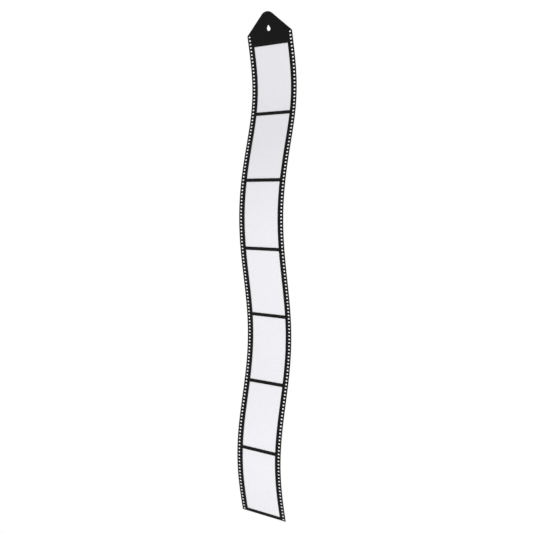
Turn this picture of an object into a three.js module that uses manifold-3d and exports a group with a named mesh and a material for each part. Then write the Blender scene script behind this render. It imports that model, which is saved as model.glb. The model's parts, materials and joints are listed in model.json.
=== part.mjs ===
// Hanging photo strip: a long black plastic sheet shaped like a piece of film, hung from a teardrop
// hole in its tab, with a slip-in photo pocket behind each window.
// Millimetres, +Z up, +X to the viewer's right, -Y towards the viewer.
// The origin is the tip of the hang hole, where a nail bears.
import * as THREE from "three";
import { mergeVertices } from "three/addons/utils/BufferGeometryUtils.js";
import Module from "manifold-3d";

const wasm = await Module();
wasm.setup();

// Photo cards: 4 by 6 inch prints
const PHOTO_COUNT = 7;
const PHOTO_W = 101.6;
const PHOTO_H = 152.4;
const PHOTO_T = 0.4;

// Film sheet
const FILM_T = 0.8;
const LAP_SIDE = 1.8; // film over a photo's side edge
const LAP_END = 1.8; // film over a photo's top or bottom edge
const BORDER_W = 16.1; // window side to strip edge
const BAR_H = 7.6; // film between two windows

// Punched holes along both edges
const HOLE_PITCH = 7.9;
const HOLE_W = 4.8;
const HOLE_H = 2.9;
const HOLE_EDGE = 5.9; // hole centre to strip edge
const HOLE_END = 3.2; // hole centre to the end of the straight edge

// Tab
const TAB_DROP = 22.65; // shoulders down to the first seam
const TAB_RISE = 47.7; // shoulders up to the apex
const APEX_R = 24;
const HANG_DROP = 29.7; // apex down to the tip of the hang hole
const HANG_TIP_R = 0.7;
const HANG_R = 5.1;
const HANG_H = 13.4; // tip to foot of the hang hole

// Seams, where the film is thinned so that it bends
const SLIT = 0.4; // hairline between two frames
const WEB_H = 2;
const WEB_T = 0.3;
const WEB_EDGE = 1; // web end to the punched holes

// Pockets behind the windows
const LAYER_GAP = 0.1; // between one layer and the next
const WINDOW_FILM_T = 0.25;
const BACK_T = 0.5;
const WELD_END = 0.75; // weld along a pocket's top and bottom
const WELD_SIDE = 2.6; // weld along a pocket's closed side
const CARD_PLAY = 1.1; // card to the closed side's weld
const CARD_END_PLAY = 0.2; // card to the top and bottom welds
const MOUTH_LAP = 1.7; // pocket back past the card at its open side
const THUMB_R = 9;

// Waves in which the strip hangs: leans in degrees, each a half cosine away from the next
const WAVE_LEANS = [12.5, -13.4, 10.9, -11, 13.6];
const WAVE_RUNS = [220, 321, 282, 275];

// Fineness of the model
const WALK_STEP = 0.5;
const FILM_STRIDE = 1; // hole pitches to a flat stretch of film
const POCKET_STRIDE = 2;
const ARC_SEGMENTS = 10;
const CUT_DEPTH = 6; // reach of a cutter past the sheet

// Worked-out sizes: arc lengths run down the film from the first seam
const WINDOW_W = PHOTO_W - 2 * LAP_SIDE;
const WINDOW_H = PHOTO_H - 2 * LAP_END;
const STRIP_W = WINDOW_W + 2 * BORDER_W;
const FRAME_PITCH = WINDOW_H + BAR_H;
const STRIP_END = PHOTO_COUNT * FRAME_PITCH + BAR_H / 2;
const HOLE_X = STRIP_W / 2 - HOLE_EDGE;
const FIRST_HOLE = HOLE_END - TAB_DROP;
const HOLE_COUNT = Math.floor((STRIP_END - HOLE_END - FIRST_HOLE) / HOLE_PITCH) + 1;
const WEB_W = 2 * (HOLE_X - HOLE_W / 2 - WEB_EDGE);
const HANG_TIP = TAB_DROP + TAB_RISE - HANG_DROP; // tip of the hang hole above the first seam

// Depths behind the film's middle plane
const FILM_BACK = FILM_T / 2;
const WINDOW_FILM_FRONT = FILM_BACK + LAYER_GAP;
const WINDOW_FILM_BACK = WINDOW_FILM_FRONT + WINDOW_FILM_T;
const CARD_FRONT = WINDOW_FILM_BACK + LAYER_GAP;
const CARD_BACK = CARD_FRONT + PHOTO_T;
const FLOOR_FRONT = CARD_BACK + LAYER_GAP;
const FLOOR_BACK = FLOOR_FRONT + BACK_T;

const filmBlack = new THREE.MeshStandardMaterial({ color: 0x1b1e1a, roughness: 0.5, metalness: 0 });
const pocketBlack = new THREE.MeshStandardMaterial({ color: 0x181a18, roughness: 0.65, metalness: 0 });
const cardWhite = new THREE.MeshStandardMaterial({ color: 0xe8e8ee, roughness: 0.8, metalness: 0 });
const clearFilm = new THREE.MeshStandardMaterial({
  color: 0xf6f7fa,
  roughness: 0.15,
  metalness: 0,
  transparent: true,
  opacity: 0.2,
});

// The film's curve

function seam(k) {
  return k * FRAME_PITCH;
}

// Lean of the hanging film at an arc length, in radians: its lower end swings to the back.
function leanAt(s) {
  let start = 0;
  for (let i = 0; i < WAVE_RUNS.length; i += 1) {
    const share = (s - start) / WAVE_RUNS[i];
    if (share < 1) {
      const turn = (1 - Math.cos(Math.PI * Math.max(share, 0))) / 2;
      return THREE.MathUtils.degToRad(THREE.MathUtils.lerp(WAVE_LEANS[i], WAVE_LEANS[i + 1], turn));
    }
    start += WAVE_RUNS[i];
  }
  return THREE.MathUtils.degToRad(WAVE_LEANS.at(-1));
}

// A point as (y, z) at an arc length and a depth behind the film's middle plane, in the frame of
// the film at arc length `from`: its origin is on the film, and -Z runs down the film.
function filmPoint(from, s, depth) {
  const steps = Math.ceil(Math.abs(s - from) / WALK_STEP);
  const step = steps ? (s - from) / steps : 0;
  const point = new THREE.Vector2();
  for (let i = 0; i < steps; i += 1) {
    const lean = leanAt(from + (i + 0.5) * step) - leanAt(from);
    point.x += step * Math.sin(lean);
    point.y -= step * Math.cos(lean);
  }
  const lean = leanAt(s) - leanAt(from);
  point.x += depth * Math.cos(lean);
  point.y += depth * Math.sin(lean);
  return point;
}

// Arc lengths between two others where a bent sheet has an edge: midway between punched holes.
function bendLines(top, bottom, stride) {
  const lines = [];
  for (let i = 0; i < HOLE_COUNT; i += stride) {
    const s = FIRST_HOLE + (i + 0.5) * HOLE_PITCH;
    if (s > top + SLIT && s < bottom - SLIT) lines.push(s);
  }
  return lines;
}

// Solids

function solid(geometry) {
  geometry.deleteAttribute("normal");
  geometry.deleteAttribute("uv");
  const merged = mergeVertices(geometry);
  const vertProperties = merged.getAttribute("position").array;
  const triVerts = new Uint32Array(merged.getIndex().array);
  return new wasm.Manifold(new wasm.Mesh({ numProp: 3, vertProperties, triVerts }));
}

function surface(manifold) {
  const mesh = manifold.getMesh();
  const indexed = new THREE.BufferGeometry();
  indexed.setAttribute("position", new THREE.BufferAttribute(mesh.vertProperties, 3));
  indexed.setIndex(new THREE.BufferAttribute(mesh.triVerts, 1));
  const geometry = indexed.toNonIndexed();
  geometry.computeVertexNormals();
  return geometry;
}

const PROFILE_TO_SIDE = new THREE.Matrix4().makeBasis(
  new THREE.Vector3(0, 1, 0),
  new THREE.Vector3(0, 0, 1),
  new THREE.Vector3(1, 0, 0),
);

// A bent plate: the film's curve between two arc lengths and two depths, spread from left to right.
function plate(from, { top, bottom, front, back, left, right, stride = FILM_STRIDE }) {
  const lines = [top, ...bendLines(top, bottom, stride), bottom];
  const outline = [
    ...lines.map((s) => filmPoint(from, s, front)),
    ...lines.toReversed().map((s) => filmPoint(from, s, back)),
  ];
  const extrusion = { depth: right - left, bevelEnabled: false };
  const geometry = new THREE.ExtrudeGeometry(new THREE.Shape(outline), extrusion);
  geometry.applyMatrix4(PROFILE_TO_SIDE);
  geometry.translate(left, 0, 0);
  return solid(geometry);
}

// A cutter through the whole film, of a given width about the strip's middle or about `x`.
function cutter(from, top, bottom, width, x = 0) {
  return plate(from, {
    top,
    bottom,
    front: -CUT_DEPTH,
    back: CUT_DEPTH,
    left: x - width / 2,
    right: x + width / 2,
  });
}

function punchHoles(film, from, top, bottom) {
  let punched = film;
  for (let i = 0; i < HOLE_COUNT; i += 1) {
    const s = FIRST_HOLE + i * HOLE_PITCH;
    if (s + HOLE_H / 2 < top || s - HOLE_H / 2 > bottom) continue;
    for (const x of [-HOLE_X, HOLE_X]) {
      punched = punched.subtract(cutter(from, s - HOLE_H / 2, s + HOLE_H / 2, HOLE_W, x));
    }
  }
  return punched;
}

// Room for the thin web across a seam
function thinSeam(film, from, k) {
  return film.subtract(cutter(from, seam(k) - WEB_H / 2, seam(k) + WEB_H / 2, WEB_W));
}

// Film pieces

function hangHole() {
  const round = HANG_TIP - HANG_H + HANG_R;
  const tip = HANG_TIP - HANG_TIP_R;
  const flank = Math.asin((HANG_R - HANG_TIP_R) / (tip - round));
  const path = new THREE.Path();
  path.absarc(0, round, HANG_R, flank, Math.PI - flank, true);
  path.absarc(0, tip, HANG_TIP_R, Math.PI - flank, flank, true);
  path.closePath();
  return path;
}

// The flat tab, with a rounded apex between two straight slopes
function filmTab() {
  const half = STRIP_W / 2;
  const centre = TAB_DROP + TAB_RISE - APEX_R;
  const toShoulder = new THREE.Vector2(half, TAB_DROP - centre);
  const touch = Math.atan2(toShoulder.y, half) + Math.acos(APEX_R / toShoulder.length());
  const outline = new THREE.Shape();
  outline.moveTo(-half, SLIT / 2);
  outline.lineTo(half, SLIT / 2);
  outline.lineTo(half, TAB_DROP);
  outline.absarc(0, centre, APEX_R, touch, Math.PI - touch, false);
  outline.lineTo(-half, TAB_DROP);
  outline.holes.push(hangHole());
  const extrusion = { depth: FILM_T, bevelEnabled: false, curveSegments: ARC_SEGMENTS };
  const geometry = new THREE.ExtrudeGeometry(outline, extrusion);
  geometry.rotateX(Math.PI / 2);
  geometry.translate(0, FILM_T / 2, 0);
  const film = thinSeam(solid(geometry), 0, 0);
  return punchHoles(film, 0, -TAB_DROP, 0);
}

// The film round one window, from its upper seam to its lower seam or the strip's end
function filmFrame(k) {
  const from = seam(k);
  const isLast = k === PHOTO_COUNT - 1;
  const top = from + SLIT / 2;
  const bottom = isLast ? STRIP_END : seam(k + 1) - SLIT / 2;
  const windowTop = from + BAR_H / 2;
  let film = plate(from, {
    top,
    bottom,
    front: -FILM_T / 2,
    back: FILM_BACK,
    left: -STRIP_W / 2,
    right: STRIP_W / 2,
  });
  film = film.subtract(cutter(from, windowTop, windowTop + WINDOW_H, WINDOW_W));
  film = thinSeam(film, from, k);
  if (!isLast) film = thinSeam(film, from, k + 1);
  return punchHoles(film, from, top, bottom);
}

function seamWeb(k) {
  return plate(seam(k), {
    top: seam(k) - WEB_H / 2 + LAYER_GAP,
    bottom: seam(k) + WEB_H / 2 - LAYER_GAP,
    front: -WEB_T / 2,
    back: WEB_T / 2,
    left: LAYER_GAP - WEB_W / 2,
    right: WEB_W / 2 - LAYER_GAP,
  });
}

// Pocket pieces

// Arc lengths of the top and bottom of the card in pocket k
function cardEnds(k) {
  const top = seam(k) + (FRAME_PITCH - PHOTO_H) / 2;
  return { top, bottom: top + PHOTO_H };
}

function windowFilm(k) {
  return plate(seam(k), {
    ...cardEnds(k),
    front: WINDOW_FILM_FRONT,
    back: WINDOW_FILM_BACK,
    left: -PHOTO_W / 2,
    right: PHOTO_W / 2,
    stride: POCKET_STRIDE,
  });
}

function photoCard(k) {
  return plate(seam(k), {
    ...cardEnds(k),
    front: CARD_FRONT,
    back: CARD_BACK,
    left: -PHOTO_W / 2,
    right: PHOTO_W / 2,
    stride: POCKET_STRIDE,
  });
}

// A shallow tray welded to the film on three sides, open on the right, with a thumb notch there
function pocketBack(k) {
  const from = seam(k);
  const card = cardEnds(k);
  const room = { top: card.top - CARD_END_PLAY, bottom: card.bottom + CARD_END_PLAY };
  const closedSide = -PHOTO_W / 2 - CARD_PLAY;
  const mouth = PHOTO_W / 2 + MOUTH_LAP;
  const tray = plate(from, {
    top: room.top - WELD_END,
    bottom: room.bottom + WELD_END,
    front: FILM_BACK + LAYER_GAP,
    back: FLOOR_BACK,
    left: closedSide - WELD_SIDE,
    right: mouth,
    stride: POCKET_STRIDE,
  });
  const pocket = plate(from, {
    ...room,
    front: -CUT_DEPTH,
    back: FLOOR_FRONT,
    left: closedSide,
    right: mouth + CUT_DEPTH,
    stride: POCKET_STRIDE,
  });
  const middle = from + FRAME_PITCH / 2;
  const notch = new THREE.CylinderGeometry(THUMB_R, THUMB_R, 2 * CUT_DEPTH, 4 * ARC_SEGMENTS);
  notch.rotateX(leanAt(middle) - leanAt(from));
  const seat = filmPoint(from, middle, FLOOR_FRONT);
  notch.translate(mouth, seat.x, seat.y);
  return tray.subtract(pocket).subtract(solid(notch));
}

// Scene graph: each frame hangs from the seam of the one above it

function addPiece(group, name, manifold, material) {
  const mesh = new THREE.Mesh(surface(manifold), material);
  mesh.name = name;
  group.add(mesh);
}

const strip = new THREE.Group();
const tab = new THREE.Group();
tab.rotation.x = leanAt(0);
tab.position.set(0, HANG_TIP * Math.sin(leanAt(0)), -HANG_TIP * Math.cos(leanAt(0)));
strip.add(tab);
addPiece(tab, "film_tab", filmTab(), filmBlack);

let above = tab;
for (let k = 0; k < PHOTO_COUNT; k += 1) {
  const frame = new THREE.Group();
  const hangsFrom = seam(Math.max(k - 1, 0));
  const hinge = filmPoint(hangsFrom, seam(k), 0);
  frame.position.set(0, hinge.x, hinge.y);
  frame.rotation.x = leanAt(seam(k)) - leanAt(hangsFrom);
  addPiece(frame, `seam_web_${k + 1}`, seamWeb(k), filmBlack);
  addPiece(frame, `film_frame_${k + 1}`, filmFrame(k), filmBlack);
  addPiece(frame, `window_film_${k + 1}`, windowFilm(k), clearFilm);
  addPiece(frame, `photo_card_${k + 1}`, photoCard(k), cardWhite);
  addPiece(frame, `pocket_back_${k + 1}`, pocketBack(k), pocketBlack);
  above.add(frame);
  above = frame;
}

export default strip;
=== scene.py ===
# %% [markdown]
# # A hanging film-strip photo frame
# The object is one long strip of black plastic, cut like a piece of cinema film and hung from a
# teardrop hole. Seven clear windows sit one below the other, each with a slip-in pocket behind it.
# The imported CAD part comes in first and never moves. Everything that is modelled below is a finer
# skin for it, so the script starts by loading that part.

# %% Load the imported part
import json
import math

import bmesh
import bpy
import numpy as np
from mathutils import Matrix, Vector
from mathutils.geometry import delaunay_2d_cdt


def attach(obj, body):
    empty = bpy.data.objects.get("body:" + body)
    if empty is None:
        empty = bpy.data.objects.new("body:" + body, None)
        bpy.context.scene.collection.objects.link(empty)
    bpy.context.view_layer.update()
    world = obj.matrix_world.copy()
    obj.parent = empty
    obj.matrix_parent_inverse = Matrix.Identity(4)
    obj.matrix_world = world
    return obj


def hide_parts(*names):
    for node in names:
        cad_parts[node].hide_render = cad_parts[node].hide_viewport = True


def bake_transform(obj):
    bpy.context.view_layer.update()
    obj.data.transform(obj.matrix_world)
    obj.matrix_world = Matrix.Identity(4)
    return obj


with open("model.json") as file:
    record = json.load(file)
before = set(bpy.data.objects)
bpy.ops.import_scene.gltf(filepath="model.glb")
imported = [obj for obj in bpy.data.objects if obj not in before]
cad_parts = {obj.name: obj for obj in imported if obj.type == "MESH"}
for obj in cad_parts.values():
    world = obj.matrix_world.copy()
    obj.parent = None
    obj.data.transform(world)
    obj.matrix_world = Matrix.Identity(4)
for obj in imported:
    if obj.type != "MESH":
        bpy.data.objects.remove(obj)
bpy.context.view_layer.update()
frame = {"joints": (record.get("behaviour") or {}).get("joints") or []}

MM = 0.001


# %% [markdown]
# ## The camera
# The photograph was taken from the strip's right, almost level with its middle. A camera could be
# placed by eye, but the punched holes are evenly spaced and make a good ruler, so the direction,
# distance and focal length were worked out from them. The picture is square, and on a sensor 36 mm
# wide the focal length in pixels turns straight into one in millimetres.

# %% Camera
PICTURE_SIDE, FOCAL_PIXELS = 533, 874.33
SENSOR_W = 36.0
AZIMUTH, ELEVATION, ROLL = np.radians((39.808, 3.6522, 0.7082))
CAMERA_DISTANCE = 2004.46
AIM = Vector((0.0, 4.59, -581.6))
AIM_RIGHT, AIM_UP = -0.35, -37.249  # where the aim point shows, off the picture's middle, in mm
CLIP_NEAR, CLIP_FAR = 0.05, 50.0  # in metres

level_share = math.cos(ELEVATION)
to_camera = Vector(
    (math.sin(AZIMUTH) * level_share, -math.cos(AZIMUTH) * level_share, math.sin(ELEVATION))
)
level = Vector((math.cos(AZIMUTH), math.sin(AZIMUTH), 0.0))
upright = to_camera.cross(level)
camera_right = level * math.cos(ROLL) + upright * math.sin(ROLL)
camera_up = upright * math.cos(ROLL) - level * math.sin(ROLL)
camera_place = AIM + to_camera * CAMERA_DISTANCE - camera_right * AIM_RIGHT - camera_up * AIM_UP
camera_turn = Matrix((camera_right, camera_up, to_camera)).transposed().to_4x4()

camera = bpy.data.objects.new("camera", bpy.data.cameras.new("camera"))
camera.data.sensor_width = SENSOR_W
camera.data.lens = FOCAL_PIXELS / PICTURE_SIDE * SENSOR_W
camera.data.clip_start, camera.data.clip_end = CLIP_NEAR, CLIP_FAR
camera.matrix_world = Matrix.Translation(camera_place * MM) @ camera_turn
bpy.context.scene.collection.objects.link(camera)
bpy.context.scene.camera = camera
print("camera lens in mm:", round(camera.data.lens, 2), "at", [round(v, 3) for v in camera.location])

# %% [markdown]
# ## Sizes of the film
# The windows have the shape of common 4 by 6 inch prints, so one print gives the scale and the rest
# is measured against it. Sizes could be typed in where they are used, but the film, its windows and
# the pockets behind them have to agree to a fraction of a millimetre. So each size is written once
# here, flat as on a cutting table, and places are worked out from it: x runs across the strip and s
# runs down it from the first fold. Both are in millimetres.

# %% Sizes of the film
PHOTO_COUNT = 7
PHOTO_W, PHOTO_H = 101.6, 152.4
LAP_SIDE, LAP_END = 1.8, 1.8  # film over a print's edges
BORDER_W, BAR_H = 16.1, 7.6  # film beside and between the windows
HOLE_W, HOLE_H, HOLE_PITCH = 4.8, 2.9, 7.9
HOLE_EDGE, HOLE_END = 5.9, 3.2  # from a hole's centre to the strip's edge and to its shoulder
TAB_DROP, TAB_RISE, APEX_R = 22.65, 47.7, 24.0  # shoulders to the first fold and to the apex
HANG_R, HANG_TIP_R, HANG_H = 5.1, 0.7, 13.4  # the teardrop's round end, its tip and its height
HANG_DROP = 29.7  # from the apex to the teardrop's tip
FILM_T = 0.8

WINDOW_W, WINDOW_H = PHOTO_W - 2 * LAP_SIDE, PHOTO_H - 2 * LAP_END
FRAME_PITCH = WINDOW_H + BAR_H
FOLDS = FRAME_PITCH * np.arange(PHOTO_COUNT)
STRIP_HALF = WINDOW_W / 2 + BORDER_W
STRIP_END = PHOTO_COUNT * FRAME_PITCH + BAR_H / 2
HOLE_X, FIRST_HOLE = STRIP_HALF - HOLE_EDGE, HOLE_END - TAB_DROP
HANG_TIP = TAB_DROP + TAB_RISE - HANG_DROP  # the teardrop's tip above the first fold
print("strip:", round(2 * STRIP_HALF, 1), "mm wide, with", PHOTO_COUNT, "windows")
print("window:", round(WINDOW_W, 1), "by", round(WINDOW_H, 1), "mm")

# %% [markdown]
# ## The curve of the film
# A strip that has been stored in a roll hangs in soft waves. A bend modifier can give one arc, but
# here the lean changes sign several times, so the film is described by its lean at each length
# along it. Adding up short steps in the direction of the lean gives the curve. Every sheet of the
# object is then drawn flat and laid on this curve, at a depth behind the film's middle.

# %% The film's lean and curve
WAVE_LEANS = np.radians([12.5, -13.4, 10.9, -11.0, 13.6])
WAVE_RUNS = np.array([220.0, 321.0, 282.0, 275.0])
WALK_START, WALK_END, WALK_STEP = -90.0, 1120.0, 0.5  # from above the apex to below the foot


def lean_at(s):
    """Lean of the film at a length along it: its lower end swings to the back."""
    knots = np.concatenate(([0.0], np.cumsum(WAVE_RUNS)))
    s = np.clip(s, knots[0], knots[-1])
    wave = np.clip(np.searchsorted(knots, s, side="right") - 1, 0, len(WAVE_RUNS) - 1)
    turn = (1 - np.cos(np.pi * (s - knots[wave]) / WAVE_RUNS[wave])) / 2
    return WAVE_LEANS[wave] + (WAVE_LEANS[wave + 1] - WAVE_LEANS[wave]) * turn


walk = np.arange(WALK_START, WALK_END, WALK_STEP)
step_lean = lean_at(walk[:-1] + WALK_STEP / 2)
curve_y = np.concatenate(([0.0], np.cumsum(WALK_STEP * np.sin(step_lean))))
curve_z = np.concatenate(([0.0], np.cumsum(-WALK_STEP * np.cos(step_lean))))
curve_y += HANG_TIP * np.sin(WAVE_LEANS[0]) - np.interp(0.0, walk, curve_y)
curve_z += -HANG_TIP * np.cos(WAVE_LEANS[0]) - np.interp(0.0, walk, curve_z)


def on_film(x, s, depth):
    """Places in metres of points given flat, in millimetres."""
    y = np.interp(s, walk, curve_y) + depth * np.cos(lean_at(s))
    z = np.interp(s, walk, curve_z) + depth * np.sin(lean_at(s))
    return np.column_stack(np.broadcast_arrays(x, y, z)) * MM


hinges = np.array([j["pos_m"] for j in frame["joints"] if j["type"] == "hinge"])
off = np.abs(on_film(0.0, FOLDS, 0.0) - hinges).max() / MM
print("folds are within", round(off, 4), "mm of the CAD hinges")

# %% [markdown]
# ## Outlines on the cutting table
# The real strip is die-cut from one sheet: the house-shaped tab, the windows and the small oblong
# holes all come from one stroke, and a die leaves small radii in every corner. The outlines could
# be drawn as curves and filled, but plain lists of points let the long edges carry a point at every
# web between two holes, which is where the sheet is allowed to bend later.

# %% Rows of punched holes
ROW_MARGIN = 0.3  # a row of webs that is nearer than this to a rounded corner is passed over

hole_rows = np.arange(FIRST_HOLE, STRIP_END - HOLE_END, HOLE_PITCH)
webs = hole_rows[:-1] + HOLE_PITCH / 2


def rows_between(top, bottom, corner):
    """The rows of webs that meet the straight sides of a box with rounded corners."""
    return webs[(webs > top + corner + ROW_MARGIN) & (webs < bottom - corner - ROW_MARGIN)]


print(len(hole_rows), "rows of punched holes and", len(webs), "rows of webs between them")

# %% Helpers that draw outlines
CORNER_STEPS = 3


def arc(x, s, radius, start, end, steps):
    """Points of an arc. Angles are in degrees, from +x towards +s."""
    turn = np.radians(np.linspace(start, end, steps + 1))
    return np.column_stack((x + radius * np.cos(turn), s + radius * np.sin(turn)))


def rounded_box(left, right, top, bottom, radius, rows=()):
    """A box with rounded corners and a point on its left and right sides at each row."""
    side = np.column_stack((np.full(len(rows), right), rows))
    other = np.column_stack((np.full(len(rows), left), rows[::-1]))
    return np.vstack(
        (
            arc(right - radius, top + radius, radius, -90, 0, CORNER_STEPS),
            side,
            arc(right - radius, bottom - radius, radius, 0, 90, CORNER_STEPS),
            arc(left + radius, bottom - radius, radius, 90, 180, CORNER_STEPS),
            other,
            arc(left + radius, top + radius, radius, 180, 270, CORNER_STEPS),
        )
    )


def mirrored(half):
    """A closed outline from its right half, whose two ends lie on the middle line."""
    return np.vstack((half, half[-2:0:-1] * (-1, 1)))


print("a rounded box without rows has", len(rounded_box(0.0, 1.0, 0.0, 1.0, 0.2)), "points")

# %% Outline of the whole strip
CORNER_R = 0.9
APEX_STEPS = 14
GROOVE_HALF, GROOVE_FLANK = 1.0, 0.5  # half a fold groove's height, and the part that slopes
FOLD_REACH = 1.6  # a bend line lies this far either side of each fold

crease_rows = (GROOVE_HALF - GROOVE_FLANK, GROOVE_HALF, FOLD_REACH)
fold_rows = np.concatenate([FOLDS + way * row for row in crease_rows for way in (-1, 1)])
edge_rows = np.sort(np.concatenate((webs, fold_rows)))
right_edge = np.column_stack((np.full(len(edge_rows), STRIP_HALF), edge_rows))
apex_centre = APEX_R - TAB_DROP - TAB_RISE
to_shoulder = np.array((STRIP_HALF, -TAB_DROP - apex_centre))
bearing = math.atan2(to_shoulder[1], to_shoulder[0])
touch = math.degrees(bearing - math.acos(APEX_R / np.linalg.norm(to_shoulder)))
strip_outline = mirrored(
    np.vstack(
        (
            arc(0.0, apex_centre, APEX_R, -90, touch, APEX_STEPS),
            [(STRIP_HALF, -TAB_DROP)],
            right_edge,
            arc(STRIP_HALF - CORNER_R, STRIP_END - CORNER_R, CORNER_R, 0, 90, CORNER_STEPS),
            [(0.0, STRIP_END)],
        )
    )
)
print("strip outline:", len(strip_outline), "points")

# %% Outlines of the windows, the punched holes and the hang hole
WINDOW_R = 1.2
HANG_STEPS, HANG_TIP_STEPS = 22, 6
WINDOW_TOPS = FOLDS + BAR_H / 2

windows = []
for top in WINDOW_TOPS:
    rows = rows_between(top, top + WINDOW_H, WINDOW_R)
    windows.append(rounded_box(-WINDOW_W / 2, WINDOW_W / 2, top, top + WINDOW_H, WINDOW_R, rows))
punched = [
    rounded_box(x - HOLE_W / 2, x + HOLE_W / 2, s - HOLE_H / 2, s + HOLE_H / 2, CORNER_R)
    for s in hole_rows
    for x in (-HOLE_X, HOLE_X)
]
hang_round, hang_tip = HANG_H - HANG_R - HANG_TIP, HANG_TIP_R - HANG_TIP
flank = math.degrees(math.asin((HANG_R - HANG_TIP_R) / (hang_round - hang_tip)))
hang_hole = np.vstack(
    (
        arc(0.0, hang_round, HANG_R, -flank, 180 + flank, HANG_STEPS),
        arc(0.0, hang_tip, HANG_TIP_R, 180 + flank, 360 - flank, HANG_TIP_STEPS),
    )
)
print(len(windows), "windows,", len(punched), "punched holes, a hang hole of", len(hang_hole), "points")

# %% [markdown]
# ## From an outline to a sheet
# A die-cut sheet has two flat faces and a narrow edge that is slightly rounded. Solidify and Bevel
# modifiers would do this too, but they would also round the cuts where the strip is divided later.
# So the edge is built ring by ring: the outline is drawn a few times, a little further in or out and a
# little deeper each time, and joined by quads. The flat faces are filled by Blender's constrained
# triangulation, which keeps every outline and every crease as an edge of the mesh.

# %% Helpers that move and test an outline
def counter_clockwise(loop):
    """The loop, turned round if it runs clockwise with x to the right and s upwards."""
    x, s = loop.T
    area = np.sum(x * np.roll(s, -1) - np.roll(x, -1) * s)
    return loop if area > 0 else loop[::-1]


def grown(loop, by):
    """The loop with each of its sides moved outwards."""
    side = np.roll(loop, -1, axis=0) - loop
    side /= np.linalg.norm(side, axis=1)[:, None]
    after = np.column_stack((side[:, 1], -side[:, 0]))
    before = np.roll(after, 1, axis=0)
    return loop + by * (after + before) / (1 + np.sum(after * before, axis=1))[:, None]


def inside(loop, points):
    """True for each point that lies in the loop, by counting the sides to its right."""
    x, s = points[:, :1], points[:, 1:]
    (ax, ay), (bx, by) = loop.T, np.roll(loop, -1, axis=0).T
    spans = (ay > s) != (by > s)
    rise = np.where(by == ay, 1.0, by - ay)
    return np.sum(spans & (x < ax + (s - ay) / rise * (bx - ax)), axis=1) % 2 == 1


wider = np.ptp(grown(counter_clockwise(windows[0]), 1.0)[:, 0])
print("a window grown by 1 mm is", round(wider, 1), "mm wide")

# %% Fill the flat faces of a sheet
HULL_TRIANGLES, SAME_POINT = 0, 1e-6  # fill out to the hull, and join points that are this near


def filled(rims, creases):
    """Points and triangles between the outer rim and the holes' rims, and each rim's points."""
    points, edges, owner = [], [], []
    for number, line in enumerate([*rims, *creases]):
        first = len(points)
        is_rim = number < len(rims)
        points.extend(Vector(p) for p in line)
        owner.extend([number if is_rim else -1] * len(line))
        edges.extend((first + i, first + i + 1) for i in range(len(line) - 1))
        if is_rim:
            edges.append((first + len(line) - 1, first))
    made = delaunay_2d_cdt(points, edges, [], HULL_TRIANGLES, SAME_POINT, True)
    flat = np.array([tuple(p) for p in made[0]])
    place_of = {old: new for new, olds in enumerate(made[3]) for old in olds}
    rim_of = np.full(len(flat), -1)
    for old, number in enumerate(owner):
        if number >= 0:
            rim_of[place_of[old]] = number
    faces = np.array(made[2])
    owners = rim_of[faces]
    in_hole = (owners[:, 0] > 0) & (owners[:, 0] == owners[:, 1]) & (owners[:, 0] == owners[:, 2])
    kept = ~in_hole & inside(rims[0], flat[faces].mean(axis=1))
    starts = np.cumsum([0] + [len(r) for r in rims])
    rings = [[place_of[i] for i in range(a, b)] for a, b in zip(starts, starts[1:])]
    return flat, faces[kept], rings


print("a window fills with", len(filled(windows[:1], [])[1]), "triangles")

# %% Build a sheet with rounded edges
EDGE_STEPS = ((0.29, 0.29), (0.0, 1.0))  # inset and drop across a rounded edge, in radii


def flat_sheet(outline, holes, front, back, radius, creases=()):
    """A sheet on the cutting table: points (x, s, depth), faces, and the side that each is on."""
    loops = [counter_clockwise(loop) for loop in (outline, *holes)]
    ways = [-1] + [1] * len(holes)  # the sheet lies inside its outline and outside its holes
    rims = [grown(loop, way * radius) for loop, way in zip(loops, ways)]
    flat, triangles, rings = filled(rims, creases)
    count = len(flat)
    points = [np.column_stack((flat, front(*flat.T))), np.column_stack((flat, back(*flat.T)))]
    faces = [t[::-1] for t in triangles.tolist()] + (triangles + count).tolist()
    sides = ["front"] * len(triangles) + ["back"] * len(triangles)
    total = 2 * count
    for loop, way, ring in zip(loops, ways, rings):
        levels = [list(ring)]
        for surface, down in ((front, 1), (back, -1)):
            steps = EDGE_STEPS if down > 0 else EDGE_STEPS[::-1]
            for inset, drop in steps:
                line = grown(loop, way * inset * radius)
                depth = surface(*loop.T) + down * drop * radius
                points.append(np.column_stack((line, depth)))
                levels.append(list(range(total, total + len(loop))))
                total += len(loop)
        levels.append([i + count for i in ring])
        for upper, lower in zip(levels, levels[1:]):
            quads = zip(upper, upper[1:] + upper[:1], lower[1:] + lower[:1], lower)
            faces.extend(q if way < 0 else q[::-1] for q in quads)
            sides.extend(["edge"] * len(loop))
    return np.vstack(points), faces, sides


print("a cut edge is", 2 * len(EDGE_STEPS) + 1, "faces wide from front to back")

# %% [markdown]
# ## From a flat sheet to an object
# Laying the flat points on the curve bends the sheet. A Curve modifier could bend it too, but the
# curve's own formula is at hand and lands exactly on the CAD part. Faces shade smoothly along the
# bend, and the line between a face and its rounded edge is kept sharp, or the shading of the narrow
# edge would bleed over the whole flat face. A value named cut_edge marks the cut edges, so that a
# material can make them a little paler than the faces, as freshly cut plastic is.

# %% Lay a sheet on the film's curve
FLAT_LIMIT, EDGE_LIMIT = math.radians(12), math.radians(60)  # sharper bends shade as sharp lines


def mark(mesh, name, values):
    """Gives each point of a mesh a value that a material can read by its name."""
    mesh.attributes.new(name, "FLOAT", "POINT").data.foreach_set("value", np.float32(values))


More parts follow.
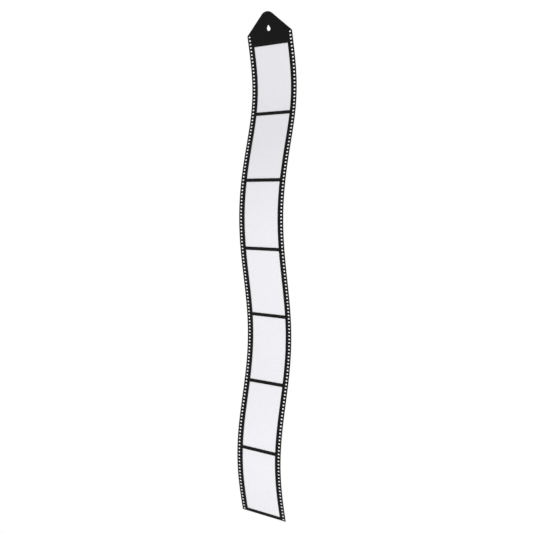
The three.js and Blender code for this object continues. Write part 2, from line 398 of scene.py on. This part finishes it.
def laid(name, points, faces, sides, material):
    """A mesh object of a flat sheet, bent onto the curve. Open cuts are closed by flat faces."""
    mesh = bpy.data.meshes.new(name)
    mesh.from_pydata(on_film(*points.T).tolist(), [], faces)
    on_edge = np.ones(len(points))
    for face, side in zip(faces, sides):
        if side != "edge":
            on_edge[list(face)] = 0.0
    mark(mesh, "cut_edge", on_edge)
    bm = bmesh.new()
    bm.from_mesh(mesh)
    open_cuts = [e for e in bm.edges if e.is_boundary]
    if open_cuts:
        bmesh.ops.edgeloop_fill(bm, edges=open_cuts)
    bm.faces.index_update()
    sides = sides + ["cut"] * (len(bm.faces) - len(sides))
    for face in bm.faces:
        face.smooth = True
    for edge in bm.edges:
        met = {sides[f.index] for f in edge.link_faces}
        limit = EDGE_LIMIT if met == {"edge"} else FLAT_LIMIT
        edge.smooth = len(met) == 1 and edge.calc_face_angle(0.0) < limit
    bmesh.ops.recalc_face_normals(bm, faces=bm.faces)
    bm.to_mesh(mesh)
    bm.free()
    mesh.materials.append(material)
    made = bpy.data.objects.new(name, mesh)
    bpy.context.scene.collection.objects.link(made)
    return made


print("shading breaks at", np.degrees((FLAT_LIMIT, EDGE_LIMIT)).round().tolist(), "degrees")

# %% [markdown]
# ## Node helpers
# Four finishes follow: satin black film, matt black pocket sheet, clear window film and white card.
# They share some effects, and each of those is a node group with its own named inputs, so that a
# finish can use the same grain or the same scuffs with other values. Nodes can be wired by hand in
# the shader editor, but a few small helpers say the same in one line each and keep the code short.

# %% Helpers for nodes
def node(tree, kind, inputs=None, **settings):
    """A new node. An input is either a value or another node's output, which is then linked."""
    made = tree.nodes.new(kind)
    for name, value in settings.items():
        setattr(made, name, value)
    for name, value in (inputs or {}).items():
        if isinstance(value, bpy.types.NodeSocket):
            tree.links.new(value, made.inputs[name])
        else:
            made.inputs[name].default_value = value
    return made


def worked(tree, operation, a, b=0.0, clamp=False):
    """The output of a Math node."""
    return node(tree, "ShaderNodeMath", {0: a, 1: b}, operation=operation, use_clamp=clamp).outputs[0]


def mapped(tree, value, low, high, to_low=0.0, to_high=1.0):
    """The output of a Map Range node, held within its limits."""
    limits = {"Value": value, "From Min": low, "From Max": high, "To Min": to_low, "To Max": to_high}
    return node(tree, "ShaderNodeMapRange", limits).outputs[0]


def mixed(tree, factor, a, b):
    """The output of a colour Mix node, whose colours are its sockets 6 and 7."""
    return node(tree, "ShaderNodeMix", {0: factor, 6: a, 7: b}, data_type="RGBA").outputs[2]


def noise(tree, where, scale, detail, distortion=0.0):
    """The output of a Noise Texture node."""
    inputs = {"Vector": where, "Scale": scale, "Detail": detail, "Distortion": distortion}
    return node(tree, "ShaderNodeTexNoise", inputs).outputs["Fac"]


# %% More helpers for nodes
def group_of(name, inputs, outputs):
    """A new node group with its entry and exit nodes. All its sockets are plain numbers."""
    made = bpy.data.node_groups.new(name, "ShaderNodeTree")
    for socket, value in inputs.items():
        added = made.interface.new_socket(socket, in_out="INPUT", socket_type="NodeSocketFloat")
        added.default_value = value
    for socket in outputs:
        made.interface.new_socket(socket, in_out="OUTPUT", socket_type="NodeSocketFloat")
    return made, made.nodes.new("NodeGroupInput").outputs, made.nodes.new("NodeGroupOutput")


def object_place(tree):
    """Object coordinates, which are in metres."""
    return node(tree, "ShaderNodeTexCoord").outputs["Object"]


def per_metre(tree, size):
    """How often a size in millimetres goes into a metre, which makes it the scale of a texture."""
    return worked(tree, "DIVIDE", 1.0 / MM, size)


def marked(tree, name):
    """The value that mark gave the points of a mesh."""
    return node(tree, "ShaderNodeAttribute", attribute_name=name).outputs["Fac"]


# %% [markdown]
# ### Shared effect: grain
# Plastic sheet leaves the rollers with a fine grain, and paper has fibres of about the same size.
# A scanned texture would need a picture file, but one noise at the size of the grain serves both. A
# second, slow noise gives the cloudiness that every large sheet shows, so that no finish is one flat
# colour.

# %% Node group: grain
GRAIN_DETAIL, CLOUD_DETAIL = 2.0, 3.0
NOISE_LOW, NOISE_HIGH = 0.3, 0.7  # nearly all of a noise lies between these

grain_sizes = {"Grain mm": 0.5, "Cloud mm": 60.0}
grain_group, given, result = group_of("sheet_grain", grain_sizes, ["Grain", "Cloud"])
where = object_place(grain_group)
grain = noise(grain_group, where, per_metre(grain_group, given["Grain mm"]), GRAIN_DETAIL)
cloud = noise(grain_group, where, per_metre(grain_group, given["Cloud mm"]), CLOUD_DETAIL)
grain_group.links.new(grain, result.inputs["Grain"])
grain_group.links.new(mapped(grain_group, cloud, NOISE_LOW, NOISE_HIGH), result.inputs["Cloud"])
print("group:", grain_group.name)

# %% [markdown]
# ### Shared effect: handling marks
# A strip that is taken down to change its photos picks up dull finger smudges and hair-thin
# scratches, most of them along its length. They could be painted on by hand, but noise needs no
# unwrapping and never repeats. Smudges are a noise cut off at a middle value. For the scratches the
# same noise is squeezed across the strip and stretched along it, and only its highest crests are
# kept.

# %% Node group: handling marks
SMUDGE_LOW, SMUDGE_HIGH = 0.48, 0.72  # a smudge starts and is full at these values of its noise
SMUDGE_DETAIL, SMUDGE_SWIRL = 4.0, 0.6
SCRATCH_SCALE, SCRATCH_TURN = (1500.0, 300.0, 22.0), (0.0, 0.12, 0.0)
FEWEST_ABOVE, MOST_ABOVE = 0.8, 0.5  # crests above these are kept, at no cover and at full cover
SCRATCH_GAIN = 14.0

mark_sizes = {"Smudge mm": 35.0, "Scratch cover": 0.1}
marks_group, given, result = group_of("handling_marks", mark_sizes, ["Smudges", "Scratches"])
where = object_place(marks_group)
smudge_scale = per_metre(marks_group, given["Smudge mm"])
smudge = noise(marks_group, where, smudge_scale, SMUDGE_DETAIL, SMUDGE_SWIRL)
drawn_out = node(
    marks_group,
    "ShaderNodeMapping",
    {"Vector": where, "Rotation": SCRATCH_TURN, "Scale": SCRATCH_SCALE},
).outputs["Vector"]
crest = noise(marks_group, drawn_out, scale=1.0, detail=1.0)
lowest = mapped(marks_group, given["Scratch cover"], 0.0, 1.0, FEWEST_ABOVE, MOST_ABOVE)
above = worked(marks_group, "SUBTRACT", crest, lowest)
scratch = worked(marks_group, "MULTIPLY", above, SCRATCH_GAIN, clamp=True)
marks_group.links.new(mapped(marks_group, smudge, SMUDGE_LOW, SMUDGE_HIGH), result.inputs["Smudges"])
marks_group.links.new(scratch, result.inputs["Scratches"])
print("group:", marks_group.name)

# %% [markdown]
# ### Shared effect: rubbed edges
# Cut plastic is paler along its edges, which also take the first rubs and knocks. The Geometry
# node's Pointiness could find the edges, but it only works in Cycles and depends on the mesh. Here
# the cut_edge value says where an edge is, and a noise breaks it up so that the rub comes and goes.

# %% Node group: rubbed edges
PATCH_LOW, PATCH_HIGH, PATCH_DETAIL = 0.35, 0.65, 3.0

rub_group, given, result = group_of("rubbed_edges", {"Patch mm": 4.0, "Cover": 0.6}, ["Rub"])
patch = noise(rub_group, object_place(rub_group), per_metre(rub_group, given["Patch mm"]), PATCH_DETAIL)
bare = worked(rub_group, "MULTIPLY", mapped(rub_group, patch, PATCH_LOW, PATCH_HIGH), given["Cover"])
rub = worked(rub_group, "MULTIPLY", marked(rub_group, "cut_edge"), bare)
rub_group.links.new(rub, result.inputs["Rub"])
print("group:", rub_group.name)

# %% [markdown]
# ### Finish: satin black film
# The strip is black through and through, with a satin face that shows a soft sheen but no mirror
# image. A black that is too shiny turns grey in a white room, so the specular level is low and the
# roughness middling. Smudges dull it, and scratches and rubbed edges show as thin grey lines. Black
# plastic also blushes to grey where it is folded, so a value named fold, which the mesh will carry,
# brings a thin pale line into each crease. A few helpers come first, for this and later finishes.

# %% Helpers that build a finish
def finish_of(name, **constants):
    """A new material with its Principled shader, whose constant sockets are set on it."""
    material = bpy.data.materials.new(name)
    material.use_nodes = True
    shader = material.node_tree.nodes["Principled BSDF"]
    for socket, value in constants.items():
        shader.inputs[socket.replace("_", " ")].default_value = value
    return material, material.node_tree, shader


def placed(tree, group, **values):
    """A node group placed in a finish, with its own values. Gives its outputs."""
    inputs = {name.replace("_", " "): value for name, value in values.items()}
    return node(tree, "ShaderNodeGroup", inputs, node_tree=group).outputs


def feed(tree, shader, **outputs):
    """Links outputs to the shader's sockets of those names."""
    for socket, output in outputs.items():
        tree.links.new(output, shader.inputs[socket.replace("_", " ")])


def bumped(tree, height, strength, depth):
    """A normal that follows a height. The depth is that of a height of 1, in millimetres."""
    inputs = {"Strength": strength, "Distance": depth * MM, "Height": height}
    return node(tree, "ShaderNodeBump", inputs).outputs["Normal"]


def rgb(red, green, blue):
    """A colour without transparency."""
    return (red, green, blue, 1.0)


# %% Satin black film
FILM_DARK, FILM_PALE = rgb(0.0016, 0.0020, 0.0015), rgb(0.0044, 0.0050, 0.0041)
FILM_CLOUD, FILM_CLOUDED = rgb(0.0050, 0.0055, 0.0048), 0.35  # a colour, and how far it goes
SCRATCH_GREY, SCRATCHED = rgb(0.05, 0.05, 0.05), 0.4
FILM_BLUSH, LEAST_BLUSH = rgb(0.0100, 0.0105, 0.0100), 0.4
FILM_RUBBED = rgb(0.04, 0.041, 0.04)
SATIN, SATIN_SMUDGED, SATIN_TOOTH = 0.42, 0.55, 0.08  # roughness, and what the grain adds to it

film_finish, tree, shader = finish_of("satin_black_film", Specular_IOR_Level=0.07)
grain = placed(tree, grain_group, Grain_mm=0.45, Cloud_mm=70.0)
marks = placed(tree, marks_group, Smudge_mm=45.0, Scratch_cover=0.3)
rub = placed(tree, rub_group, Patch_mm=5.0, Cover=0.7)
tooth = mapped(tree, grain["Grain"], NOISE_LOW, NOISE_HIGH)
black = mixed(tree, tooth, FILM_DARK, FILM_PALE)
clouded = mixed(tree, worked(tree, "MULTIPLY", grain["Cloud"], FILM_CLOUDED), black, FILM_CLOUD)
blush_share = mapped(tree, tooth, 0.0, 1.0, LEAST_BLUSH, 1.0)
blush = worked(tree, "MULTIPLY", marked(tree, "fold"), blush_share)
folded = mixed(tree, blush, clouded, FILM_BLUSH)
scratches = worked(tree, "MULTIPLY", marks["Scratches"], SCRATCHED)
scratched = mixed(tree, scratches, folded, SCRATCH_GREY)
dulled = mapped(tree, marks["Smudges"], 0.0, 1.0, SATIN, SATIN_SMUDGED)
feed(
    tree,
    shader,
    Base_Color=mixed(tree, rub["Rub"], scratched, FILM_RUBBED),
    Roughness=worked(tree, "ADD", dulled, worked(tree, "MULTIPLY", grain["Grain"], SATIN_TOOTH)),
    Normal=bumped(tree, grain["Grain"], strength=0.35, depth=0.05),
)
print("finish:", film_finish.name)

# %% [markdown]
# ## The film strip
# In CAD the strip is divided at its folds, because each frame is a body of its own. The real film
# is one sheet, so here it is drawn and filled as one and then divided half-way down each window,
# where nobody looks for a joint. A piece runs from the middle of one frame to the middle of the
# next, across the fold between them, and only the last has no fold. The fold itself is a
# pressed groove on both faces.

# %% Fold grooves and bend lines
FOLD_T, FOLD_EDGE = 0.3, 1.0  # thickness in the fold, and from its end to the punched holes
FOLD_HALF_W = HOLE_X - HOLE_W / 2 - FOLD_EDGE
GROOVE_DEPTH = (FILM_T - FOLD_T) / 2
EDGE_R = 0.12


def groove(x, s):
    """Depth of the pressed fold grooves below a face of the film."""
    away = np.min(np.abs(np.subtract.outer(s, FOLDS)), axis=-1)
    across = np.clip((GROOVE_HALF - away) / GROOVE_FLANK, 0.0, 1.0)
    along = np.clip((FOLD_HALF_W - np.abs(x)) / GROOVE_FLANK, 0.0, 1.0)
    return GROOVE_DEPTH * np.minimum(across, along)


def box_line(half_w, half_h, s):
    """A closed line round a fold."""
    corners = ((-1, -1), (1, -1), (1, 1), (-1, 1), (-1, -1))
    return [(x * half_w, s + way * half_h) for x, way in corners]


film_lines = []
for fold in FOLDS:
    film_lines.append(box_line(FOLD_HALF_W, GROOVE_HALF, fold))
    film_lines.append(box_line(FOLD_HALF_W - GROOVE_FLANK, GROOVE_HALF - GROOVE_FLANK, fold))
    for s in (fold - FOLD_REACH, fold + FOLD_REACH):
        film_lines.append([(-FOLD_HALF_W, s), (FOLD_HALF_W, s)])
for top in WINDOW_TOPS:
    for s in rows_between(top, top + WINDOW_H, WINDOW_R):
        for way in (-1, 1):
            outer, inner = way * (STRIP_HALF - EDGE_R), way * (WINDOW_W / 2 + EDGE_R)
            film_lines.append([(outer, s), (inner, s)])
print(len(film_lines), "creases and bend lines")

# %% The whole film, flat
film_points, film_faces, film_sides = flat_sheet(
    strip_outline,
    [*windows, *punched, hang_hole],
    lambda x, s: groove(x, s) - FILM_T / 2,
    lambda x, s: FILM_T / 2 - groove(x, s),
    EDGE_R,
    film_lines,
)
print("film:", len(film_points), "points,", len(film_faces), "faces")

# %% Divide the film and hang its last piece from its frame
middles = FOLDS + FRAME_PITCH / 2
cuts = webs[np.argmin(np.abs(np.subtract.outer(middles, webs)), axis=1)]
face_s = np.array([film_points[list(face), 1].mean() for face in film_faces])
piece_of = np.searchsorted(cuts, face_s)

for k in range(PHOTO_COUNT + 1):
    chosen = np.flatnonzero(piece_of == k)
    used = np.unique(np.concatenate([film_faces[i] for i in chosen]))
    renumbered = {old: new for new, old in enumerate(used.tolist())}
    faces = [[renumbered[v] for v in film_faces[i]] for i in chosen]
    sides = [film_sides[i] for i in chosen]
    film = laid(f"film_sheet_{k}", film_points[used], faces, sides, film_finish)
    mark(film.data, "fold", groove(*film_points[used, :2].T) / GROOVE_DEPTH)
    if k == PHOTO_COUNT:
        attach(film, f"frame_{k}")
        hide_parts(f"film_frame_{k}")
        continue
    start, end = on_film(0.0, FOLDS[k] + np.array((-FOLD_REACH, FOLD_REACH)), 0.0)
    upper, upper_node = ("tab", "film_tab") if k == 0 else (f"frame_{k}", f"film_frame_{k}")
    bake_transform(film)
    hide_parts(upper_node, f"seam_web_{k + 1}", f"film_frame_{k + 1}")
print("film divided at", np.round(cuts, 1).tolist(), "mm")

# %% [markdown]
# ### Finish: clear window film
# Each window is covered by a thin clear film behind the strip. Glass shading bends light and is slow
# to settle, but a film a quarter of a millimetre thick shifts nothing that one could see. All that
# shows of it is what it mirrors: a few hundredths of the light face on, and more at a slant. So the
# shader is a mirror whose alpha follows that share, and the rest is plain see-through. The far face,
# seen from inside the film, is left out: past a certain slant it would turn into a full mirror.
# Smudges soften the mirror image, and faint ripples bend it.

# %% Clear window film
CLEAR_DIM, CLEAR_BRIGHT = rgb(0.90, 0.905, 0.93), rgb(0.93, 0.935, 0.955)
CLEAR_GLOSS, CLEAR_SMUDGED = 0.14, 0.28  # roughness
SLANT_BLEND, MIRROR_SHARE = 0.33, 0.5  # for Layer Weight, and how much of its Fresnel is used
SCRATCH_GLINT = 0.03

window_finish, tree, shader = finish_of("clear_window_film", Metallic=1.0)
marks = placed(tree, marks_group, Smudge_mm=28.0, Scratch_cover=0.08)
ripples = placed(tree, grain_group, Grain_mm=26.0, Cloud_mm=90.0)
slant = node(tree, "ShaderNodeLayerWeight", {"Blend": SLANT_BLEND}).outputs["Fresnel"]
mirror = mapped(tree, slant, 0.0, 1.0, 0.0, MIRROR_SHARE)
share = worked(tree, "ADD", mirror, worked(tree, "MULTIPLY", marks["Scratches"], SCRATCH_GLINT))
near_face = worked(tree, "SUBTRACT", 1.0, node(tree, "ShaderNodeNewGeometry").outputs["Backfacing"])
feed(
    tree,
    shader,
    Base_Color=mixed(tree, ripples["Cloud"], CLEAR_DIM, CLEAR_BRIGHT),
    Roughness=mapped(tree, marks["Smudges"], 0.0, 1.0, CLEAR_GLOSS, CLEAR_SMUDGED),
    Alpha=worked(tree, "MULTIPLY", share, near_face),
    Normal=bumped(tree, ripples["Grain"], strength=0.12, depth=0.4),
)
print("finish:", window_finish.name)

# %% [markdown]
# ### Finish: white card
# The photograph shows plain pale panels with a trace of lavender, so the pockets hold blank cards.
# Card is matt and slightly fibrous. A paper texture could be loaded for it, but the grain group at
# the size of fibres gives it a soft tooth, and its slow cloud a very small change of tone.

# %% White card
PULP_DIM, PULP_BRIGHT = rgb(0.853, 0.845, 0.884), rgb(0.883, 0.875, 0.912)
CARD_CLOUD, CARD_CLOUDED = rgb(0.838, 0.831, 0.868), 0.2
CARD_RUBBED = rgb(0.80, 0.79, 0.80)
CARD_SMOOTH, CARD_ROUGH = 0.68, 0.82

card_finish, tree, shader = finish_of("white_card", Specular_IOR_Level=0.25)
grain = placed(tree, grain_group, Grain_mm=0.35, Cloud_mm=45.0)
rub = placed(tree, rub_group, Patch_mm=3.0, Cover=0.5)
pulp = mixed(tree, grain["Grain"], PULP_DIM, PULP_BRIGHT)
toned = mixed(tree, worked(tree, "MULTIPLY", grain["Cloud"], CARD_CLOUDED), pulp, CARD_CLOUD)
feed(
    tree,
    shader,
    Base_Color=mixed(tree, rub["Rub"], toned, CARD_RUBBED),
    Roughness=mapped(tree, grain["Grain"], 0.0, 1.0, CARD_SMOOTH, CARD_ROUGH),
    Normal=bumped(tree, grain["Grain"], strength=0.3, depth=0.03),
)
print("finish:", card_finish.name)

# %% [markdown]
# ## Window films and cards
# Behind each window lie two plain sheets of the size of a print, first the clear film and then the
# card. Flat planes would do if the strip hung straight, but both have to bend with their frame, so
# they are cut with tiny corner radii and laid on the curve as the film was. The clear film is fixed
# to the strip and rides on the frame. The card rides on its own body, which slides sideways.

# %% Window films and cards
LAYER_GAP = 0.1  # between one sheet and the next
CLEAR_T, CARD_T = 0.25, 0.4
CLEAR_FRONT = FILM_T / 2 + LAYER_GAP
CARD_FRONT = CLEAR_FRONT + CLEAR_T + LAYER_GAP
CLEAR_RADII, CARD_RADII = (1.0, 0.04), (0.4, 0.08)  # of the corners and of the cut edges
CARD_TOPS = FOLDS + (FRAME_PITCH - PHOTO_H) / 2


def plain_sheet(name, top, front, thickness, radii, material):
    """A print-sized sheet at a depth, with a bend line at each row of webs."""
    corner, edge = radii
    bottom, side = top + PHOTO_H, PHOTO_W / 2
    rows = rows_between(top, bottom, corner)
    flat = flat_sheet(
        rounded_box(-side, side, top, bottom, corner, rows),
        [],
        lambda x, s: np.full_like(x, front),
        lambda x, s: np.full_like(x, front + thickness),
        edge,
        [[(edge - side, s), (side - edge, s)] for s in rows],
    )
    return laid(name, *flat, material)


for k, top in enumerate(CARD_TOPS, start=1):
    window = plain_sheet(f"clear_window_{k}", top, CLEAR_FRONT, CLEAR_T, CLEAR_RADII, window_finish)
    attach(window, f"frame_{k}")
    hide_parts(f"window_film_{k}")
    card = plain_sheet(f"blank_card_{k}", top, CARD_FRONT, CARD_T, CARD_RADII, card_finish)
    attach(card, f"photo_{k}")
    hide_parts(f"photo_card_{k}")
print("window films and cards:", len(CARD_TOPS), "of each,", PHOTO_W, "by", PHOTO_H, "mm")

# %% [markdown]
# ### Finish: matt black pocket sheet
# The pockets are made of a softer black sheet with a coarser, duller grain than the film. Where it
# is welded to the film, the welding bar leaves a row of fine ribs, pressed smooth and darker than
# the rest. They could be modelled, but they are a tenth of a millimetre high, so a wave pattern in
# the colour and the bump is enough, held to the weld by a value on the mesh.

# %% Matt black pocket sheet
POCKET_DARK, POCKET_PALE = rgb(0.0062, 0.0068, 0.0064), rgb(0.0120, 0.0127, 0.0122)
POCKET_CLOUD, POCKET_CLOUDED = rgb(0.0125, 0.0132, 0.0127), 0.4
POCKET_RUBBED, PRESSED_BLACK = rgb(0.04, 0.04, 0.041), rgb(0.0025, 0.0028, 0.0026)
MATT, MATT_SMUDGED = 0.52, 0.66  # roughness
RIB_SCALE, RIB_POLISH, RIB_HEIGHT = 180.0, 0.2, 1.5

pocket_finish, tree, shader = finish_of("matt_black_pocket", Specular_IOR_Level=0.25)
grain = placed(tree, grain_group, Grain_mm=0.9, Cloud_mm=50.0)
marks = placed(tree, marks_group, Smudge_mm=38.0, Scratch_cover=0.35)
rub = placed(tree, rub_group, Patch_mm=4.0, Cover=0.6)
rib_inputs = {"Vector": object_place(tree), "Scale": RIB_SCALE}
wave = node(tree, "ShaderNodeTexWave", rib_inputs, bands_direction="DIAGONAL").outputs["Fac"]
ribs = worked(tree, "MULTIPLY", wave, marked(tree, "weld"))
tooth = mapped(tree, grain["Grain"], NOISE_LOW, NOISE_HIGH)
black = mixed(tree, tooth, POCKET_DARK, POCKET_PALE)
clouded = mixed(tree, worked(tree, "MULTIPLY", grain["Cloud"], POCKET_CLOUDED), black, POCKET_CLOUD)
pressed = mixed(tree, ribs, clouded, PRESSED_BLACK)
scratches = worked(tree, "MULTIPLY", marks["Scratches"], SCRATCHED)
scratched = mixed(tree, scratches, pressed, SCRATCH_GREY)
dulled = mapped(tree, marks["Smudges"], 0.0, 1.0, MATT, MATT_SMUDGED)
relief = worked(tree, "ADD", grain["Grain"], worked(tree, "MULTIPLY", ribs, RIB_HEIGHT))
feed(
    tree,
    shader,
    Base_Color=mixed(tree, rub["Rub"], scratched, POCKET_RUBBED),
    Roughness=worked(tree, "SUBTRACT", dulled, worked(tree, "MULTIPLY", ribs, RIB_POLISH)),
    Normal=bumped(tree, relief, strength=0.5, depth=0.1),
)
print("finish:", pocket_finish.name)

# %% [markdown]
# ## Pocket backs
# A pocket is a black sheet welded to the back of the film on three sides. The fourth side, on the
# viewer's right, stays open for the photo and has a round notch for the thumb. The sheet lies flat
# on the film in the weld and steps back over the card's thickness inside it. Extruding the middle
# would make that step upright, but a pressed sheet slopes there. So the shape is drawn flat, as the
# film was, with a depth at each point: two U-shaped creases mark the foot and the top of the step.

# %% Sizes and step of a pocket back
BACK_T = 0.5
WELD_FRONT = CLEAR_FRONT  # the weld lies as deep as the clear film
FLOOR_FRONT = CARD_FRONT + CARD_T + LAYER_GAP
WELD_SIDE, WELD_END = 2.6, 0.75
CARD_PLAY, CARD_END_PLAY = 1.1, 0.2  # from the card to the weld beside it and at its ends
MOUTH_LAP = 1.7  # the sheet stands past the card on the open side
POCKET_LEFT = -PHOTO_W / 2 - CARD_PLAY - WELD_SIDE
POCKET_MOUTH = PHOTO_W / 2 + MOUTH_LAP
POCKET_END = (FRAME_PITCH - PHOTO_H) / 2 - CARD_END_PLAY - WELD_END  # from a fold to a pocket
SIDE_STEP, END_STEP = (WELD_SIDE, 3.2), (0.35, 0.9)  # from an edge to the step's foot and top


def step_height(x, s, top, bottom):
    """0 in the weld and 1 on the floor of the pocket."""
    from_end = np.minimum(s - top, bottom - s)
    side = (x - POCKET_LEFT - SIDE_STEP[0]) / (SIDE_STEP[1] - SIDE_STEP[0])
    end = (from_end - END_STEP[0]) / (END_STEP[1] - END_STEP[0])
    return np.clip(np.minimum(side, end), 0.0, 1.0)


print("pocket:", round(POCKET_MOUTH - POCKET_LEFT, 1), "mm wide")
print("its step:", round(FLOOR_FRONT - WELD_FRONT, 2), "mm")

# %% Outline and bend lines of a pocket back
POCKET_R, POCKET_STEPS, POCKET_EDGE_R = 1.5, 4, 0.08
THUMB_R, THUMB_STEPS = 9.0, 20
NOTCH_MARGIN, NOTCH_CLEAR = 0.5, 1.0  # rows keep this far from the notch, at its sides and inside


def pocket_outline(top, bottom, rows):
    """The sheet's outline, with a thumb notch in the middle of its open side."""
    middle, keep_off = (top + bottom) / 2, THUMB_R + NOTCH_MARGIN
    upper_steps, lower_steps = top + np.array(END_STEP), bottom - np.array(END_STEP[::-1])
    mouth_rows = np.concatenate((upper_steps, rows, lower_steps))
    left = POCKET_LEFT + POCKET_R
    return np.vstack(
        (
            [(POCKET_MOUTH, top)],
            [(POCKET_MOUTH, s) for s in mouth_rows if s < middle - keep_off],
            arc(POCKET_MOUTH, middle, THUMB_R, 270, 90, THUMB_STEPS),
            [(POCKET_MOUTH, s) for s in mouth_rows if s > middle + keep_off],
            [(POCKET_MOUTH, bottom)],
            arc(left, bottom - POCKET_R, POCKET_R, 90, 180, POCKET_STEPS),
            [(POCKET_LEFT, s) for s in rows[::-1]],
            arc(left, top + POCKET_R, POCKET_R, 180, 270, POCKET_STEPS),
        )
    )


def pocket_lines(top, bottom, rows):
    """The foot and the top of the step, and a bend line at each row of webs."""
    mouth = POCKET_MOUTH - POCKET_EDGE_R
    lines = []
    for side, end in zip(SIDE_STEP, END_STEP):
        x = POCKET_LEFT + side
        lines.append([(mouth, top + end), (x, top + end), (x, bottom - end), (mouth, bottom - end)])
    for s in rows:
        clear = abs(s - (top + bottom) / 2) > THUMB_R + NOTCH_MARGIN
        stop = mouth if clear else mouth - THUMB_R - NOTCH_CLEAR
        lines.append([(POCKET_LEFT + POCKET_EDGE_R, s), (stop, s)])
    return lines


print("thumb notch:", 2 * THUMB_R, "mm across")


# %% Pocket backs
def pocket_sheet(name, top, bottom):
    """A pocket's mesh object, with a value named weld on its points."""
    rows = rows_between(top, bottom, POCKET_R)

    def rise(x, s):
        """How far a point of the sheet lies behind the weld."""
        return (FLOOR_FRONT - WELD_FRONT) * step_height(x, s, top, bottom)

    points, faces, sides = flat_sheet(
        pocket_outline(top, bottom, rows),
        [],
        lambda x, s: WELD_FRONT + rise(x, s),
        lambda x, s: WELD_FRONT + BACK_T + rise(x, s),
        POCKET_EDGE_R,
        pocket_lines(top, bottom, rows),
    )
    made = laid(name, points, faces, sides, pocket_finish)
    mark(made.data, "weld", 1.0 - step_height(points[:, 0], points[:, 1], top, bottom))
    return made


for k, fold in enumerate(FOLDS, start=1):
    pocket = pocket_sheet(f"pocket_sheet_{k}", fold + POCKET_END, fold + FRAME_PITCH - POCKET_END)
    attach(pocket, f"frame_{k}")
    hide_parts(f"pocket_back_{k}")
print("pocket backs:", len(FOLDS), "and the last has", len(pocket.data.vertices), "points")

# %% [markdown]
# ## Floor, light and background
# The strip hangs in a white room. A pale floor well below it takes its shadow and fades out to the
# sides, so that no edge shows. The lamps are aimed at the strip and leave the floor grey, so it glows
# a little to the camera and in reflections, but lights nothing. The world is plain white to them
# too, and lights the strip at half that. One large soft lamp in front, level with the lower windows,
# does the rest: the upper windows are further from it and come out a little darker, as in the
# photograph. More light from the world could do it alone, but then every window would be alike.

# %% A mask for rays that show the background
def shown_rays(tree):
    """1 for rays from the camera, a mirror or clear plastic, and 0 for rays that light a surface."""
    path = node(tree, "ShaderNodeLightPath").outputs
    shown = worked(tree, "MAXIMUM", path["Is Camera Ray"], path["Is Glossy Ray"])
    return worked(tree, "MAXIMUM", shown, path["Is Transmission Ray"])


# %% Floor
FLOOR_Z, FLOOR_R, FLOOR_SIDES = -1.6, 1.2, 96
FADE_START, FADE_END = 0.25, 1.1  # the floor fades out between these distances from its middle
FLOOR_DIM, FLOOR_BRIGHT = rgb(0.86, 0.86, 0.86), rgb(0.89, 0.89, 0.89)
FLOOR_GLOW = 0.27

bpy.ops.mesh.primitive_circle_add(
    vertices=FLOOR_SIDES, radius=FLOOR_R, fill_type="NGON", location=(0.0, 0.0, FLOOR_Z)
)
floor = bpy.context.object
floor.name = "floor"
floor_finish, tree, shader = finish_of("pale_floor", Roughness=0.9, Specular_IOR_Level=0.1)
grain = placed(tree, grain_group, Grain_mm=3.0, Cloud_mm=200.0)
reach = node(tree, "ShaderNodeVectorMath", {0: object_place(tree)}, operation="LENGTH").outputs["Value"]
feed(
    tree,
    shader,
    Base_Color=mixed(tree, grain["Cloud"], FLOOR_DIM, FLOOR_BRIGHT),
    Alpha=mapped(tree, reach, FADE_START, FADE_END, 1.0, 0.0),
    Emission_Strength=worked(tree, "MULTIPLY", shown_rays(tree), FLOOR_GLOW),
)
floor.data.materials.append(floor_finish)
print("floor at", FLOOR_Z, "m")

# %% World
WHITE = rgb(1.0, 1.0, 1.0)
WORLD_LIGHT = 0.5

world = bpy.data.worlds.new("white_room")
world.use_nodes = True
bpy.context.scene.world = world
tree = world.node_tree
sky = tree.nodes["Background"]
sky.inputs["Color"].default_value = WHITE
tree.links.new(mapped(tree, shown_rays(tree), 0.0, 1.0, WORLD_LIGHT, 1.0), sky.inputs["Strength"])
print("world lights the strip at", WORLD_LIGHT)


# %% Lamps
def soft_lamp(name, place, aim, size, power):
    """A rectangular area lamp. Places and sizes are in metres, the power is in watts."""
    lamp = bpy.data.objects.new(name, bpy.data.lights.new(name, "AREA"))
    lamp.data.shape = "RECTANGLE"
    lamp.data.size, lamp.data.size_y = size
    lamp.data.energy = power
    lamp.location = place
    lamp.rotation_euler = (Vector(aim) - Vector(place)).to_track_quat("-Z", "Y").to_euler()
    bpy.context.scene.collection.objects.link(lamp)
    print("lamp:", name, "of", power, "W")


soft_lamp("front_lamp", place=(0.5, -1.8, -0.86), aim=(0.0, 0.0, -0.86), size=(2.3, 1.1), power=23.5)
soft_lamp("back_lamp", place=(-0.8, 2.2, 0.3), aim=(0.0, 0.0, -0.55), size=(1.2, 1.6), power=14.0)

# %% Picture settings
bpy.context.scene.view_settings.view_transform = "Standard"
print("view transform:", bpy.context.scene.view_settings.view_transform)
